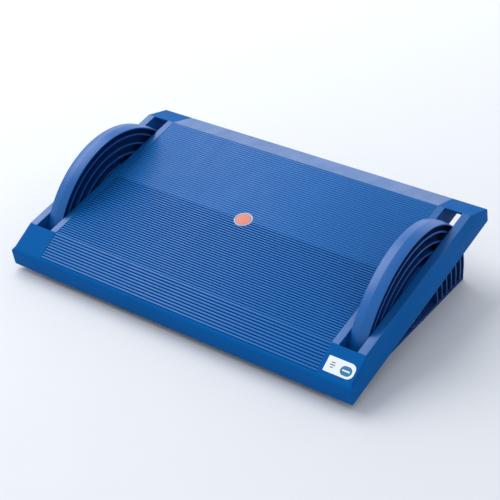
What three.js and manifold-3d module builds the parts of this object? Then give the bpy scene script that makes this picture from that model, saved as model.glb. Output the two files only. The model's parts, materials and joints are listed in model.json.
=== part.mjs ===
// Tilting foot rest: a ribbed moulded platform that rocks on two half-disc side stands.
// Units are millimetres. +X is to the right, +Y to the back and +Z up, and the floor is z = 0.
//
// The platform is designed in its own turned frame, which shares its origin with the rocking axis:
// x to the right, s along the slope towards the back, h square to the sole of the foot.
// The rocking axis is the centre line of both half discs and lies on the floor.

import * as THREE from 'three';
import { mergeVertices } from 'three/addons/utils/BufferGeometryUtils.js';
import Module from 'manifold-3d';

const wasm = await Module();
wasm.setup();

// ---------------------------------------------------------------- driving dimensions

const TILT = 12.9;               // degrees, slope of the platform when its front feet are down

// Platform moulding.
const TOP_LENGTH = 225.5;        // flat top, front fold to back fold
const PLATFORM_WIDTH = 450;      // bottom of the skirt
const SIDE_SLANT = 2.7;          // width of the slanted sides, seen from above
const FRONT_STRIP = 36.2;        // length of the slanted strip in front of the flat top
const BACK_STRIP = 36.1;         // and of the one behind it
const FRONT_DROP = 14.2;         // how far the front strip falls
const BACK_DROP = 17.6;          // how far the back strip falls
const SKIRT_DEPTH = 34.5;        // flat top to the bottom edge of the skirt
const SKIRT_FLARE = 0.5;         // the skirt widens this much on each side towards its edge
const CORNER_RADIUS = 5;         // upright corners of the skirt
const CORNER_STEPS = 3;
const SKIRT_WALL = 2.8;
const TOP_WALL = 3;

// Slots that the stands pass through, and the walls that line them below the top.
const SLOT_WIDTH = 20.7;
const SIDE_BORDER = 10.1;        // slot's outer side to the edge of the flat top
const SLOT_WALL = 2.8;
const SLOT_WALL_DEPTH = 31;      // from the flat top down

// Grip ribs on the top, left between cut grooves.
const RIB_PITCH = 3.4;
const RIB_BORDER = 8.5;          // ribs' ends to the slots' inner sides
const GROOVE_DEPTH = 0.9;
const GROOVE_TOP = 1.7;
const GROOVE_FLOOR = 0.8;
const RIB_EDGE = 1.6;            // plain border kept at the ends of the ribbed zone

// Stiffening ribs under the top.
const STIFFENER_WALL = 2;
const STIFFENER_DEPTH = 11;      // from the flat top down
const STIFFENER_PITCH = 84;
const STIFFENER_COUNT = 4;
const STIFFENER_PEG_GAP = 20;    // from a peg's middle to the cross rib beyond it
const STIFFENER_MIDDLE = 30;     // from the middle to the next cross rib

// Half-disc stands.
const STAND_RADIUS = 119.2;
const STAND_CROWN = 1.4;         // the tread's middle stands this much proud of its edges
const STAND_RIM = 3;
const STAND_WEB = 3;
const STAND_BASE = 3.6;          // flat flange along the bottom, as wide as the stand
const STAND_RIB = 2.2;
const STAND_RIB_COUNT = 6;
const TREAD_GAP = 10.2;          // from the tread in to the middle of the outermost guide rib
const STAND_STEPS = 60;          // facets in a full turn
const SLIDE_GAP = 0.6;           // between a stand and each side of its slot

// Guide pegs: they hang the platform in one of the grooves between the stands' ribs.
const PEG_GROOVE = 1;            // counted inwards from the groove under the outermost rib
const PEG_DIAMETER = 7.6;
const PEG_PLAY = 0.65;           // between a peg and each of the guide ribs beside it
const PEG_SPREAD = 75;           // along the slope, from the middle to a peg
const PEG_DROP = 21.9;           // from the flat top down to the pegs' middle
const PEG_WEB_GAP = 0.9;         // between a peg's tip and the stand's web
const PEG_HEAD_DIAMETER = 13;
const PEG_HEAD = 2.4;

// Rubber bumper feet under the platform's corners, each held by a screw.
const BUMPER_INSET = 21;         // middle of a bumper to the slot's inner side
const BUMPER_S = 127;
const BUMPER_DIAMETER = 20;
const BUMPER_LIFT = 3;           // the bosses end this far above the skirt's bottom edge
const BOSS_DIAMETER = 15;
const BOSS_HOLE_DEPTH = 12;
const SCREW_DIAMETER = 3.6;
const SCREW_LENGTH = 14;         // below its head
const SCREW_HEAD_DIAMETER = 7;
const SCREW_HEAD = 2.4;
const BUMPER_SEAT = 6;           // rubber between the screw's head and the boss

// Tie rod that joins the stands, inside a spacer tube.
const ROD_DIAMETER = 8;
const ROD_HEIGHT = 16;           // its middle above the floor
const TUBE_DIAMETER = 14;
const HUB_DIAMETER = 26;
const NUT_POCKET = 10;           // depth of the round pocket in a stand's hub
const NUT_POCKET_DIAMETER = 19;
const WASHER_DIAMETER = 16;
const WASHER = 1.6;
const NUT_FLATS = 13;            // across the flats
const NUT = 6.5;
const ROD_PROUD = 0.8;           // the rod ends this far past its nut

// Round badge in the middle of the top.
const BADGE_DIAMETER = 22;
const BADGE_DEPTH = 1.8;
const BADGE_RIM = 2.3;
const BADGE_RIM_DEPTH = 1.5;
const PLUG_STEM_DIAMETER = 6;
const PLUG_STEM = 5;

// Sticker on the front strip, to the right of the ribs.
const LABEL_LENGTH = 32;
const LABEL_WIDTH = 16.6;
const LABEL_THICKNESS = 0.4;
const LABEL_ROUND = 6.5;         // radius at its right end
const LABEL_SHARP = 0.8;         // radius at its left end
const LABEL_INSET = 21.6;        // middle of the sticker to the side of the platform
const LABEL_FALL = 21.3;         // middle of the sticker, down the strip from the front fold

const GAP = 0.3;                 // between pieces that seat on or in each other
const ROUND_STEPS = 20;          // facets of small round pieces
const CUT_MARGIN = 2;            // cutters run this far past what they cut

// ---------------------------------------------------------------- derived sizes

const tiltAngle = THREE.MathUtils.degToRad(TILT);
const shoulderWidth = PLATFORM_WIDTH - 2 * SKIRT_FLARE;
const topWidth = shoulderWidth - 2 * SIDE_SLANT;
const slotOuter = topWidth / 2 - SIDE_BORDER;
const slotInner = slotOuter - SLOT_WIDTH;
const slotMiddle = slotInner + SLOT_WIDTH / 2;
const ribZoneWidth = 2 * (slotInner - RIB_BORDER);
const bumperX = slotInner - BUMPER_INSET;
const labelX = PLATFORM_WIDTH / 2 - LABEL_INSET;
const standWidth = SLOT_WIDTH - 2 * SLIDE_GAP;
const standRibPitch = STAND_RIB + PEG_DIAMETER + 2 * PEG_PLAY;
const firstRibRadius = STAND_RADIUS - TREAD_GAP;
const pegRadius = firstRibRadius - (PEG_GROOVE + 0.5) * standRibPitch;
const pegHeight = Math.sqrt(pegRadius ** 2 - PEG_SPREAD ** 2);
const topHeight = pegHeight + PEG_DROP;
const skirtHeight = topHeight - SKIRT_DEPTH;
const frontEnd = -TOP_LENGTH / 2 - FRONT_STRIP;
const backEnd = TOP_LENGTH / 2 + BACK_STRIP;
const frontSlope = Math.atan2(FRONT_DROP, FRONT_STRIP);
const frontSlopeLength = Math.hypot(FRONT_DROP, FRONT_STRIP);
const bossEnd = skirtHeight + BUMPER_LIFT;
const longRibs = Array.from(
  { length: STIFFENER_COUNT },
  (_, i) => (i - (STIFFENER_COUNT - 1) / 2) * STIFFENER_PITCH,
);
const crossRibs = [STIFFENER_MIDDLE, PEG_SPREAD + STIFFENER_PEG_GAP].flatMap((s) => [-s, s]);

// Distance in front of (negative) or behind the rocking axis, on the floor's own Y axis.
const levelY = (s, h) => s * Math.cos(tiltAngle) - h * Math.sin(tiltAngle);
const frontReach = Math.min(
  levelY(frontEnd, topHeight - FRONT_DROP),
  levelY(frontEnd - SKIRT_FLARE, skirtHeight),
);
const backReach = Math.max(
  levelY(backEnd, topHeight - BACK_DROP),
  levelY(backEnd + SKIRT_FLARE, skirtHeight),
);
const axisY = -(frontReach + backReach) / 2;

// ---------------------------------------------------------------- materials

const plastic = (color, roughness) => new THREE.MeshStandardMaterial({ color, roughness, metalness: 0 });
const steel = () => new THREE.MeshStandardMaterial({ color: 0xb9bcc0, roughness: 0.35, metalness: 1 });

const MATERIALS = {
  platform: plastic(0x2158a8, 0.5),
  stand: plastic(0x1d55a6, 0.48),
  rubber: plastic(0x1c1d20, 0.9),
  badgeRim: plastic(0xd9d6dc, 0.5),
  badge: plastic(0xf08a72, 0.55),
  label: plastic(0xf4f6f5, 0.45),
  steel: steel(),
};

// ---------------------------------------------------------------- solid modelling helpers

function toSolid(geometry) {
  const plain = geometry.clone();
  plain.deleteAttribute('normal');
  plain.deleteAttribute('uv');
  const merged = mergeVertices(plain, 1e-4);
  return new wasm.Manifold(new wasm.Mesh({
    numProp: 3,
    vertProperties: new Float32Array(merged.attributes.position.array),
    triVerts: new Uint32Array(merged.index.array),
  }));
}

function toGeometry(body) {
  const mesh = body.getMesh();
  const geometry = new THREE.BufferGeometry();
  geometry.setAttribute('position', new THREE.BufferAttribute(mesh.vertProperties, 3));
  geometry.setIndex(new THREE.BufferAttribute(mesh.triVerts, 1));
  geometry.computeVertexNormals();
  return geometry;
}

function box(low, high) {
  const size = high.map((value, i) => value - low[i]);
  const geometry = new THREE.BoxGeometry(...size);
  geometry.translate(...low.map((value, i) => value + size[i] / 2));
  return toSolid(geometry);
}

// A round bar along X, from x = start to x = end.
function barX(diameter, start, end, steps = ROUND_STEPS) {
  const geometry = new THREE.CylinderGeometry(diameter / 2, diameter / 2, end - start, steps);
  geometry.rotateZ(Math.PI / 2);
  geometry.translate((start + end) / 2, 0, 0);
  return toSolid(geometry);
}

// A round bar along Z, from z = start to z = end.
function barZ(diameter, start, end, steps = ROUND_STEPS) {
  const geometry = new THREE.CylinderGeometry(diameter / 2, diameter / 2, end - start, steps);
  geometry.rotateX(Math.PI / 2);
  geometry.translate(0, 0, (start + end) / 2);
  return toSolid(geometry);
}

// A closed skin over rings of equal length, listed from the bottom up, each running anticlockwise.
function loft(rings) {
  const count = rings[0].length;
  const positions = rings.flat().flatMap((point) => point.toArray());
  const faces = [];
  for (let ring = 0; ring + 1 < rings.length; ring += 1) {
    for (let i = 0; i < count; i += 1) {
      const a = ring * count + i;
      const b = ring * count + (i + 1) % count;
      faces.push(a, b, b + count, a, b + count, a + count);
    }
  }
  const top = (rings.length - 1) * count;
  for (let i = 1; i + 1 < count; i += 1) {
    faces.push(0, i + 1, i);
    faces.push(top, top + i, top + i + 1);
  }
  const geometry = new THREE.BufferGeometry();
  geometry.setAttribute('position', new THREE.Float32BufferAttribute(positions, 3));
  geometry.setIndex(faces);
  return toSolid(geometry);
}

// A rectangle with round corners in the platform's frame, anticlockwise seen from above.
function roundedRing(halfWidth, front, back, radius, heightAt) {
  const ring = [];
  const corners = [
    [halfWidth - radius, front + radius, -Math.PI / 2],
    [halfWidth - radius, back - radius, 0],
    [-halfWidth + radius, back - radius, Math.PI / 2],
    [-halfWidth + radius, front + radius, Math.PI],
  ];
  for (const [x, s, start] of corners) {
    for (let step = 0; step <= CORNER_STEPS; step += 1) {
      const angle = start + (Math.PI / 2) * (step / CORNER_STEPS);
      const along = s + radius * Math.sin(angle);
      ring.push(new THREE.Vector3(x + radius * Math.cos(angle), along, heightAt(along)));
    }
  }
  return ring;
}

// ---------------------------------------------------------------- platform moulding

// Height of the fold between the slanted strips and the skirt: it falls evenly from front to back.
const shoulderHeight = (s) => topHeight
  - THREE.MathUtils.mapLinear(s, frontEnd, backEnd, FRONT_DROP, BACK_DROP);

function platformOutside() {
  return loft([
    roundedRing(PLATFORM_WIDTH / 2, frontEnd - SKIRT_FLARE, backEnd + SKIRT_FLARE,
      CORNER_RADIUS, () => skirtHeight),
    roundedRing(shoulderWidth / 2, frontEnd, backEnd, CORNER_RADIUS, shoulderHeight),
    roundedRing(topWidth / 2, -TOP_LENGTH / 2, TOP_LENGTH / 2, 1, () => topHeight),
  ]);
}

function platformHollow() {
  const inner = CORNER_RADIUS - SKIRT_WALL;
  const low = skirtHeight - CUT_MARGIN;
  return loft([
    roundedRing(PLATFORM_WIDTH / 2 - SKIRT_WALL, frontEnd - SKIRT_FLARE + SKIRT_WALL,
      backEnd + SKIRT_FLARE - SKIRT_WALL, inner, () => low),
    roundedRing(shoulderWidth / 2 - SKIRT_WALL, frontEnd + SKIRT_WALL, backEnd - SKIRT_WALL,
      inner, (s) => shoulderHeight(s) - TOP_WALL * Math.cos(frontSlope)),
    roundedRing(topWidth / 2 - SKIRT_WALL, -TOP_LENGTH / 2, TOP_LENGTH / 2,
      1, () => topHeight - TOP_WALL),
  ]);
}

function slotWalls() {
  const walls = [];
  for (const x of [slotInner - SLOT_WALL, slotOuter]) {
    for (const low of [x, -x - SLOT_WALL]) {
      walls.push(box([low, frontEnd, topHeight - SLOT_WALL_DEPTH], [low + SLOT_WALL, backEnd, topHeight]));
    }
  }
  return walls;
}

function stiffeners() {
  const low = topHeight - STIFFENER_DEPTH;
  const half = STIFFENER_WALL / 2;
  const reach = slotInner - SLOT_WALL / 2;
  return [
    ...longRibs.map((x) => box([x - half, frontEnd, low], [x + half, backEnd, topHeight])),
    ...crossRibs.map((s) => box([-reach, s - half, low], [reach, s + half, topHeight])),
  ];
}

const bumperPlaces = [
  ['front_left', -bumperX, -BUMPER_S],
  ['front_right', bumperX, -BUMPER_S],
  ['back_left', -bumperX, BUMPER_S],
  ['back_right', bumperX, BUMPER_S],
];

function bumperBosses() {
  const boss = barZ(BOSS_DIAMETER, bossEnd, topHeight);
  return bumperPlaces.map(([, x, s]) => boss.translate([x, s, 0]));
}

function bumperHoles() {
  const hole = barZ(SCREW_DIAMETER + 2 * GAP, bossEnd - CUT_MARGIN, bossEnd + BOSS_HOLE_DEPTH, 12);
  return bumperPlaces.map(([, x, s]) => hole.translate([x, s, 0]));
}

function slots() {
  const half = TOP_LENGTH / 2;
  const low = topHeight - TOP_WALL - CUT_MARGIN;
  return [slotInner, -slotOuter].map((x) => box(
    [x, -half, low],
    [x + SLOT_WIDTH, half, topHeight + CUT_MARGIN],
  ));
}

// One groove between two grip ribs, cut from a surface at z = 0, running along X.
function gripGroove() {
  const outline = new THREE.Shape();
  outline.moveTo(-GROOVE_TOP / 2, CUT_MARGIN);
  outline.lineTo(-GROOVE_TOP / 2, 0);
  outline.lineTo(-GROOVE_FLOOR / 2, -GROOVE_DEPTH);
  outline.lineTo(GROOVE_FLOOR / 2, -GROOVE_DEPTH);
  outline.lineTo(GROOVE_TOP / 2, 0);
  outline.lineTo(GROOVE_TOP / 2, CUT_MARGIN);
  const geometry = new THREE.ExtrudeGeometry(outline, { depth: ribZoneWidth, bevelEnabled: false });
  geometry.applyMatrix4(new THREE.Matrix4().makeBasis(
    new THREE.Vector3(0, 1, 0),
    new THREE.Vector3(0, 0, 1),
    new THREE.Vector3(1, 0, 0),
  ));
  geometry.translate(-ribZoneWidth / 2, 0, 0);
  return toSolid(geometry);
}

function gripGrooves() {
  const groove = gripGroove();
  const cuts = [];
  const flatCount = Math.floor((TOP_LENGTH - RIB_EDGE) / RIB_PITCH);
  for (let i = 1; i <= flatCount; i += 1) {
    cuts.push(groove.translate([0, -TOP_LENGTH / 2 + i * RIB_PITCH - RIB_PITCH / 2, topHeight]));
  }
  const stripCount = Math.floor((frontSlopeLength - RIB_EDGE) / RIB_PITCH);
  const tipped = groove.rotate([THREE.MathUtils.radToDeg(frontSlope), 0, 0]);
  for (let i = 1; i <= stripCount; i += 1) {
    const down = i * RIB_PITCH - RIB_PITCH / 2;
    cuts.push(tipped.translate([
      0,
      -TOP_LENGTH / 2 - down * Math.cos(frontSlope),
      topHeight - down * Math.sin(frontSlope),
    ]));
  }
  return cuts;
}

function pegHoles() {
  const reach = slotOuter + SLOT_WALL + GAP;
  const hole = barX(PEG_DIAMETER + 2 * GAP, slotInner - SLOT_WALL - GAP, reach);
  const holes = [];
  for (const s of [-PEG_SPREAD, PEG_SPREAD]) {
    holes.push(hole.translate([0, s, pegHeight]));
    holes.push(hole.rotate([0, 0, 180]).translate([0, s, pegHeight]));
  }
  return holes;
}

function badgeSeat() {
  const recess = barZ(BADGE_DIAMETER + 2 * GAP, topHeight - BADGE_DEPTH, topHeight + CUT_MARGIN, 32);
  const hole = barZ(PLUG_STEM_DIAMETER + 2 * GAP, topHeight - TOP_WALL - CUT_MARGIN, topHeight);
  return [recess, hole];
}

function platformMoulding() {
  const outside = platformOutside();
  const inside = wasm.Manifold.union([...slotWalls(), ...stiffeners(), ...bumperBosses()]);
  const cuts = [...slots(), ...gripGrooves(), ...pegHoles(), ...bumperHoles(), ...badgeSeat()];
  const moulding = outside
    .subtract(platformHollow())
    .add(inside.intersect(outside))
    .subtract(wasm.Manifold.union(cuts));
  return toGeometry(moulding);
}

// ---------------------------------------------------------------- stands

// Half of the comb-shaped section, from the middle of the disc out to the tread.
function standSection() {
  const half = standWidth / 2;
  const web = STAND_WEB / 2;
  const points = [[0, web]];
  for (let i = STAND_RIB_COUNT - 1; i >= 0; i -= 1) {
    const middle = firstRibRadius - i * standRibPitch;
    const inner = middle - STAND_RIB / 2;
    const outer = middle + STAND_RIB / 2;
    points.push([inner, web], [inner, half], [outer, half], [outer, web]);
  }
  points.push([STAND_RADIUS - STAND_RIM, web], [STAND_RADIUS - STAND_RIM, half]);
  points.push([STAND_RADIUS - STAND_CROWN, half]);
  return points;
}

// The stand's frame: x = 0 at mid width with the nut pocket on the +X side, axis on the floor.
function standMoulding() {
  const upper = standSection();
  const lower = upper.map(([radius, x]) => [radius, -x]);
  const outline = [...lower, [STAND_RADIUS, 0], ...upper.reverse()];
  const points = outline.map(([radius, x]) => new THREE.Vector2(radius, x));
  const disc = new THREE.LatheGeometry(points, STAND_STEPS);
  disc.rotateZ(-Math.PI / 2);
  const reach = STAND_RADIUS + CUT_MARGIN;
  const upperHalf = box([-standWidth, -reach, 0], [standWidth, reach, reach]);
  const half = standWidth / 2;
  const chord = STAND_RADIUS - (STAND_RIM + STAND_CROWN) / 2;
  const base = box([-half, -chord, 0], [half, chord, STAND_BASE]);
  const hub = barX(HUB_DIAMETER, -half, half, 24).translate([0, 0, ROD_HEIGHT]);
  const hole = barX(ROD_DIAMETER + 2 * GAP, -standWidth, standWidth).translate([0, 0, ROD_HEIGHT]);
  const pocket = barX(NUT_POCKET_DIAMETER, half - NUT_POCKET, standWidth, 24)
    .translate([0, 0, ROD_HEIGHT]);
  const moulding = toSolid(disc).intersect(upperHalf).add(base).add(hub);
  return toGeometry(moulding.subtract(hole).subtract(pocket));
}

// ---------------------------------------------------------------- small pieces

// The peg's frame: its head's flat underside at x = 0, its shank along +X.
function guidePeg() {
  const throughWall = GAP + SLOT_WALL;
  const intoGroove = SLIDE_GAP + (standWidth - STAND_WEB) / 2 - PEG_WEB_GAP;
  const head = barX(PEG_HEAD_DIAMETER, -PEG_HEAD, 0);
  return toGeometry(head.add(barX(PEG_DIAMETER, -PEG_HEAD / 2, throughWall + intoGroove)));
}

// The bumper's frame is the platform's own, shifted so that the bumper stands on s = 0, x = 0.
function bumperFoot() {
  const top = bossEnd - GAP;
  const body = barZ(BUMPER_DIAMETER, 0, top, 24);
  const reach = 2 * BUMPER_S;
  const floor = box([-reach, -reach, -reach], [reach, reach, 0])
    .rotate([-TILT, 0, 0])
    .translate([0, BUMPER_S, 0]);
  const seat = top - BUMPER_SEAT;
  const hole = barZ(SCREW_DIAMETER + 2 * GAP, 0, top + CUT_MARGIN, 12);
  const recess = barZ(SCREW_HEAD_DIAMETER + 4 * GAP, 0, seat);
  return toGeometry(body.subtract(floor).subtract(hole).subtract(recess));
}

// The screw's frame: the flat underside of its head at z = 0, its shank along +Z.
function bumperScrew() {
  const head = barZ(SCREW_HEAD_DIAMETER, -SCREW_HEAD, 0);
  const shank = barZ(SCREW_DIAMETER, -SCREW_HEAD / 2, SCREW_LENGTH, 12);
  const socket = barZ(SCREW_HEAD_DIAMETER / 2, -SCREW_HEAD - CUT_MARGIN, -SCREW_HEAD / 2, 6);
  return toGeometry(head.add(shank).subtract(socket));
}

function spacerTube() {
  const reach = slotInner + SLIDE_GAP - GAP;
  const bore = barX(ROD_DIAMETER + 2 * GAP, -reach - CUT_MARGIN, reach + CUT_MARGIN);
  return toGeometry(barX(TUBE_DIAMETER, -reach, reach, 24).subtract(bore));
}

const pocketFloor = slotMiddle + standWidth / 2 - NUT_POCKET;
const washerStart = pocketFloor + GAP;
const nutStart = washerStart + WASHER + GAP;
const rodEnd = nutStart + NUT + ROD_PROUD;

function washer() {
  const bore = barX(ROD_DIAMETER + 2 * GAP, -CUT_MARGIN, WASHER + CUT_MARGIN);
  return toGeometry(barX(WASHER_DIAMETER, 0, WASHER, 24).subtract(bore));
}

function hexNut() {
  const corners = NUT_FLATS / Math.cos(Math.PI / 6);
  const bore = barX(ROD_DIAMETER + 2 * GAP, -CUT_MARGIN, NUT + CUT_MARGIN);
  return toGeometry(barX(corners, 0, NUT, 6).subtract(bore));
}

// The badge's frame: its top face at z = 0.
function badgeRing() {
  const inner = BADGE_DIAMETER - 2 * BADGE_RIM;
  const bore = barZ(inner, -BADGE_DEPTH, CUT_MARGIN, 32);
  return toGeometry(barZ(BADGE_DIAMETER, -BADGE_RIM_DEPTH, 0, 32).subtract(bore));
}

function badgePlug() {
  const face = BADGE_DIAMETER - 2 * BADGE_RIM - 2 * GAP;
  const cap = barZ(face, -BADGE_RIM_DEPTH, 0, 32);
  return toGeometry(cap.add(barZ(PLUG_STEM_DIAMETER, -PLUG_STEM, -BADGE_RIM_DEPTH / 2)));
}

// The label's frame: its middle at x = 0, y = 0 and its underside at z = 0.
function label() {
  const x = LABEL_LENGTH / 2;
  const y = LABEL_WIDTH / 2;
  const outline = new THREE.Shape();
  outline.moveTo(-x + LABEL_SHARP, -y);
  outline.lineTo(x - LABEL_ROUND, -y);
  outline.absarc(x - LABEL_ROUND, -y + LABEL_ROUND, LABEL_ROUND, -Math.PI / 2, 0);
  outline.absarc(x - LABEL_ROUND, y - LABEL_ROUND, LABEL_ROUND, 0, Math.PI / 2);
  outline.lineTo(-x + LABEL_SHARP, y);
  outline.absarc(-x + LABEL_SHARP, y - LABEL_SHARP, LABEL_SHARP, Math.PI / 2, Math.PI);
  outline.absarc(-x + LABEL_SHARP, -y + LABEL_SHARP, LABEL_SHARP, Math.PI, 1.5 * Math.PI);
  const settings = { depth: LABEL_THICKNESS, bevelEnabled: false, curveSegments: 6 };
  return toGeometry(toSolid(new THREE.ExtrudeGeometry(outline, settings)));
}

// ---------------------------------------------------------------- assembly

function piece(name, geometry, material, position = [0, 0, 0], rotation = [0, 0, 0]) {
  const mesh = new THREE.Mesh(geometry, material);
  mesh.name = name;
  mesh.position.set(...position);
  mesh.rotation.set(...rotation);
  return mesh;
}

function baseGroup() {
  const group = new THREE.Group();
  const stand = standMoulding();
  const washerShape = washer();
  const nutShape = hexNut();
  const turned = [0, 0, Math.PI];
  group.add(piece('right_stand', stand, MATERIALS.stand, [slotMiddle, 0, 0]));
  group.add(piece('left_stand', stand, MATERIALS.stand, [-slotMiddle, 0, 0], turned));
  group.add(piece('tie_rod', toGeometry(barX(ROD_DIAMETER, -rodEnd, rodEnd)), MATERIALS.steel,
    [0, 0, ROD_HEIGHT]));
  group.add(piece('spacer_tube', spacerTube(), MATERIALS.steel, [0, 0, ROD_HEIGHT]));
  for (const [side, sign, turn] of [['right', 1, [0, 0, 0]], ['left', -1, turned]]) {
    group.add(piece(`${side}_washer`, washerShape, MATERIALS.steel,
      [sign * washerStart, 0, ROD_HEIGHT], turn));
    group.add(piece(`${side}_nut`, nutShape, MATERIALS.steel,
      [sign * nutStart, 0, ROD_HEIGHT], turn));
  }
  return group;
}

function pegPieces() {
  const shape = guidePeg();
  const innerHead = slotInner - SLOT_WALL - GAP;
  const outerHead = slotOuter + SLOT_WALL + GAP;
  const pieces = [];
  for (const [side, sign] of [['left', -1], ['right', 1]]) {
    for (const [wall, distance] of [['inner', innerHead], ['outer', outerHead]]) {
      const pointsRight = (sign > 0) === (wall === 'inner');
      const turn = [0, 0, pointsRight ? 0 : Math.PI];
      for (const [end, s] of [['front', -PEG_SPREAD], ['back', PEG_SPREAD]]) {
        pieces.push(piece(`${end}_${side}_${wall}_peg`, shape, MATERIALS.steel,
          [sign * distance, s, pegHeight], turn));
      }
    }
  }
  return pieces;
}

function bumperPieces() {
  const foot = bumperFoot();
  const screw = bumperScrew();
  const screwSeat = bossEnd - GAP - BUMPER_SEAT - GAP;
  const pieces = [];
  for (const [corner, x, s] of bumperPlaces) {
    const turn = [0, 0, s < 0 ? 0 : Math.PI];
    pieces.push(piece(`${corner}_bumper`, foot, MATERIALS.rubber, [x, s, 0], turn));
    pieces.push(piece(`${corner}_bumper_screw`, screw, MATERIALS.steel, [x, s, screwSeat]));
  }
  return pieces;
}

function labelPiece() {
  const lift = GAP;
  const s = -TOP_LENGTH / 2 - LABEL_FALL * Math.cos(frontSlope) - lift * Math.sin(frontSlope);
  const h = topHeight - LABEL_FALL * Math.sin(frontSlope) + lift * Math.cos(frontSlope);
  return piece('label', label(), MATERIALS.label, [labelX, s, h], [frontSlope, 0, 0]);
}

function platformGroup() {
  const group = new THREE.Group();
  group.rotation.x = tiltAngle;
  group.add(piece('platform', platformMoulding(), MATERIALS.platform));
  group.add(piece('badge_ring', badgeRing(), MATERIALS.badgeRim, [0, 0, topHeight]));
  group.add(piece('badge_plug', badgePlug(), MATERIALS.badge, [0, 0, topHeight]));
  group.add(labelPiece());
  group.add(...pegPieces(), ...bumperPieces());
  return group;
}

const footRest = new THREE.Group();
footRest.position.y = axisY;
footRest.add(baseGroup(), platformGroup());

export default footRest;
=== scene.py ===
"""Tilting foot rest: a ribbed moulded platform that rocks on two half-disc side stands.

Lengths are in metres. +X is to the right, +Y to the back and +Z up, and the floor is z = 0.
The platform and what it carries are made in the platform's own turned directions: x to the right,
s up the slope and h square to the sole of the foot, all measured from the rocking axis.
"""

import json
import math

import bmesh
import bpy
from bpy.props import FloatProperty, FloatVectorProperty, IntProperty, PointerProperty
from mathutils import Matrix, Vector


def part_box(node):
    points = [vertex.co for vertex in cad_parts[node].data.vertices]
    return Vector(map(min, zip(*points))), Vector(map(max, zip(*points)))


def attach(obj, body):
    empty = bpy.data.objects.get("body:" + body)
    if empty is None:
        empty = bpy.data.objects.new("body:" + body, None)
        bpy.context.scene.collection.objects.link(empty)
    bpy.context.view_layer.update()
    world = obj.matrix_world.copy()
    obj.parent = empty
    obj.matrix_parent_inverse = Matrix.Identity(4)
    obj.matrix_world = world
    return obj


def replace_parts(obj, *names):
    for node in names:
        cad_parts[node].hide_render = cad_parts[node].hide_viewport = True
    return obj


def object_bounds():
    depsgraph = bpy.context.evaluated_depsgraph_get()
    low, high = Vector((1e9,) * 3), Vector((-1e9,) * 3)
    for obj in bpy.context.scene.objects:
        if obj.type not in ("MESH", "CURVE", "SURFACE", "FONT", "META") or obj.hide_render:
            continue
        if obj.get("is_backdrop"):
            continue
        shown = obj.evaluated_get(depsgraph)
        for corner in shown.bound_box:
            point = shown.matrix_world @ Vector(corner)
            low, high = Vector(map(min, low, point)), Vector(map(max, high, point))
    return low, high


bl_info = {
    "name": "Tilting Foot Rest",
    "version": (1, 0, 0),
    "blender": (4, 5, 0),
    "location": "View3D > Sidebar > Foot Rest",
    "description": "Builds a tilting foot rest with a ribbed platform and half-disc stands",
    "category": "Add Mesh",
}

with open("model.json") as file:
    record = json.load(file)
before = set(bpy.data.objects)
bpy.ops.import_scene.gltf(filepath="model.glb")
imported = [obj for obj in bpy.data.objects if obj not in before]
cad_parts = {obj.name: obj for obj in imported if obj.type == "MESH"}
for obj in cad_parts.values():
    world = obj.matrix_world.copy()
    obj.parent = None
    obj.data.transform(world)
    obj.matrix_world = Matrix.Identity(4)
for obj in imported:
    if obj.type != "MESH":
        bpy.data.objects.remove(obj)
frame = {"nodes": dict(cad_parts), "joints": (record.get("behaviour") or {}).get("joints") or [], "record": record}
CAD_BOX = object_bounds()
MM = 0.001
SHORTEST_EDGE = 0.001 * MM     # an edge below this counts as a point
SAME_POINT = 0.0001 * MM
LEVEL = 0.01 * MM              # heights and places within this are the same

HINGE = Vector(frame["joints"][0]["pos_m"])
RING_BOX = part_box("badge_ring")
LABEL_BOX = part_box("label")
ROD_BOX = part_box("tie_rod")


# ---------------------------------------------------------------- sizes and colours


def length_property(name, description, millimetres):
    """A length that a user can change."""
    return FloatProperty(
        name=name, description=description, default=millimetres * MM, unit="LENGTH")


def colour_property(name, description, default):
    """A colour that a user can change."""
    return FloatVectorProperty(
        name=name, description=description, default=default, size=3,
        subtype="COLOR", min=0, max=1)


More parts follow.
